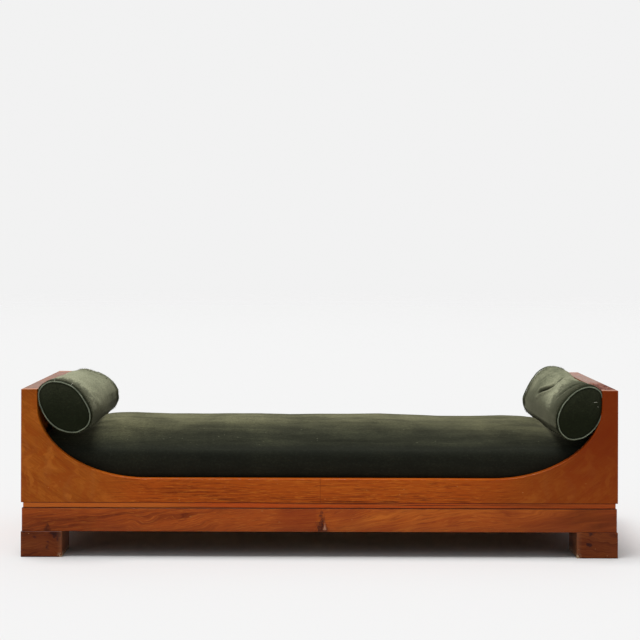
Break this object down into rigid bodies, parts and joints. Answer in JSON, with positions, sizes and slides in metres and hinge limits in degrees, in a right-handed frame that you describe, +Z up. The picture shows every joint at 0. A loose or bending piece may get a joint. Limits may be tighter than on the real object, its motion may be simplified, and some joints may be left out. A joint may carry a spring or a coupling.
{
  "type": "recamier",
  "caption": "Wooden daybed with boat-shaped side panels, block feet, a domed velvet mattress and a loose velvet bolster at each end.",
  "frame": {"origin": "on the floor, under the middle of the bed", "axes": "+X along the length towards the right bolster, front of the bed towards -Y, +Z up"},
  "size_m": [2.1, 0.72, 0.6213],
  "materials": {
    "veneered_wood": "figured veneer, polished",
    "plain_wood": "planed softwood, bare",
    "dowel_wood": "beech, bare",
    "screw_steel": "zinc plated",
    "green_velvet": "short pile, slightly crushed",
    "piping_cloth": "woven bias cloth over cord"
  },
  "bodies": {
    "frame": {"board_dowels": "dowel_wood", "centre_stretcher": "plain_wood", "corner_block_screws": "screw_steel", "foot_pegs": "dowel_wood", "front_apron": "veneered_wood", "front_left_corner_block": "plain_wood", "front_left_foot": "veneered_wood", "front_right_corner_block": "plain_wood", "front_right_foot": "veneered_wood", "front_side_panel": "veneered_wood", "front_slat_ledger": "plain_wood", "front_strip": "veneered_wood", "ledger_screws": "screw_steel", "left_apron": "veneered_wood", "left_end_board": "veneered_wood", "left_strip": "veneered_wood", "panel_dowels": "dowel_wood", "plinth_dowels": "dowel_wood", "rear_apron": "veneered_wood", "rear_left_corner_block": "plain_wood", "rear_left_foot": "veneered_wood", "rear_right_corner_block": "plain_wood", "rear_right_foot": "veneered_wood", "rear_side_panel": "veneered_wood", "rear_slat_ledger": "plain_wood", "rear_strip": "veneered_wood", "right_apron": "veneered_wood", "right_end_board": "veneered_wood", "right_strip": "veneered_wood", "slat_01": "plain_wood", "slat_02": "plain_wood", "slat_03": "plain_wood", "slat_04": "plain_wood", "slat_05": "plain_wood", "slat_06": "plain_wood", "slat_07": "plain_wood", "slat_08": "plain_wood", "slat_09": "plain_wood", "slat_10": "plain_wood", "slat_11": "plain_wood", "slat_12": "plain_wood", "slat_13": "plain_wood", "slat_14": "plain_wood", "slat_screws": "screw_steel", "stretcher_dowels": "dowel_wood"},
    "mattress": {"mattress": "green_velvet"},
    "left_bolster": {"left_bolster": "green_velvet", "left_bolster_front_piping": "piping_cloth", "left_bolster_rear_piping": "piping_cloth"},
    "right_bolster": {"right_bolster": "green_velvet", "right_bolster_front_piping": "piping_cloth", "right_bolster_rear_piping": "piping_cloth"}
  },
  "joints": [
    {"name": "mattress_lift", "type": "slide", "parent": "frame", "child": "mattress", "axis": [0, 0, 1], "range_m": [0, 0.45]},
    {"name": "left_bolster_lift", "type": "slide", "parent": "mattress", "child": "left_bolster", "axis": [0, 0, 1], "range_m": [0, 0.3]},
    {"name": "right_bolster_lift", "type": "slide", "parent": "mattress", "child": "right_bolster", "axis": [0, 0, 1], "range_m": [0, 0.3]}
  ]
}
